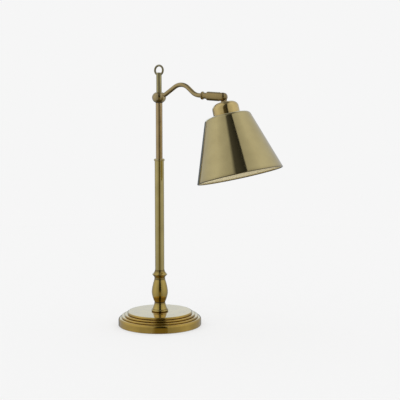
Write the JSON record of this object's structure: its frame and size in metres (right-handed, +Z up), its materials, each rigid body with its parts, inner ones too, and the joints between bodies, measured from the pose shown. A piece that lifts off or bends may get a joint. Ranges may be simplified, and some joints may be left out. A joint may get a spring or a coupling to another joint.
{
  "type": "task lamp",
  "caption": "Brass task lamp with a round stepped base, telescopic stem, ring finial, swinging swan-neck arm and a tilting conical shade.",
  "frame": {"origin": "centre of the felt pad's underside, on the surface that the lamp stands on", "axes": "+Z up along the stem, +X along the arm at rest, from the stem towards the shade"},
  "size_m": [0.3383, 0.163, 0.5086],
  "materials": {
    "antique_brass": "satin antique",
    "bright_brass": "polished",
    "zinc_steel": "zinc plated",
    "cast_iron": "as cast",
    "felt": "felt",
    "nylon": "natural",
    "phenolic": "moulded",
    "rubber": "matte",
    "opal_glass": "opal"
  },
  "bodies": {
    "stand": {"base_shell": "antique_brass", "ballast": "cast_iron", "bottom_plate": "zinc_steel", "felt_pad": "felt", "plate_screws": "zinc_steel", "inlet_grommet": "rubber", "stem_nipple": "zinc_steel", "nipple_washer": "zinc_steel", "nipple_nut": "zinc_steel", "baluster": "antique_brass", "tube_plug": "zinc_steel", "lower_tube": "antique_brass", "guide_bush": "nylon", "tube_collar": "antique_brass"},
    "post": {"upper_tube": "antique_brass", "friction_bush": "nylon", "rod": "antique_brass", "thrust_washer": "nylon", "ring_finial": "antique_brass"},
    "arm": {"ball_boss": "antique_brass", "swivel_screw": "zinc_steel", "arm_tube": "antique_brass", "arm_ferrule": "antique_brass", "knuckle": "antique_brass", "pivot_screw": "zinc_steel", "pivot_washers": "nylon"},
    "head": {"tongue": "antique_brass", "cap": "bright_brass", "cap_nut": "zinc_steel", "lampholder": "phenolic", "screw_shell": "bright_brass", "centre_contact": "bright_brass", "shade": "antique_brass", "shade_ring": "phenolic", "bulb_cap": "zinc_steel", "bulb_glass": "opal_glass"}
  },
  "joints": [
    {"name": "post_slide", "type": "slide", "parent": "stand", "child": "post", "axis": [0, 0, 1], "range_m": [-0.105, 0.055]},
    {"name": "arm_swing", "type": "hinge", "parent": "post", "child": "arm", "pos_m": [0, 0, 0.44562], "axis": [0, 0, 1], "range_deg": [-150, 150]},
    {"name": "head_tilt", "type": "hinge", "parent": "arm", "child": "head", "pos_m": [0.14095, 0, 0.44375], "axis": [0, -1, 0], "range_deg": [-20, 60]}
  ]
}
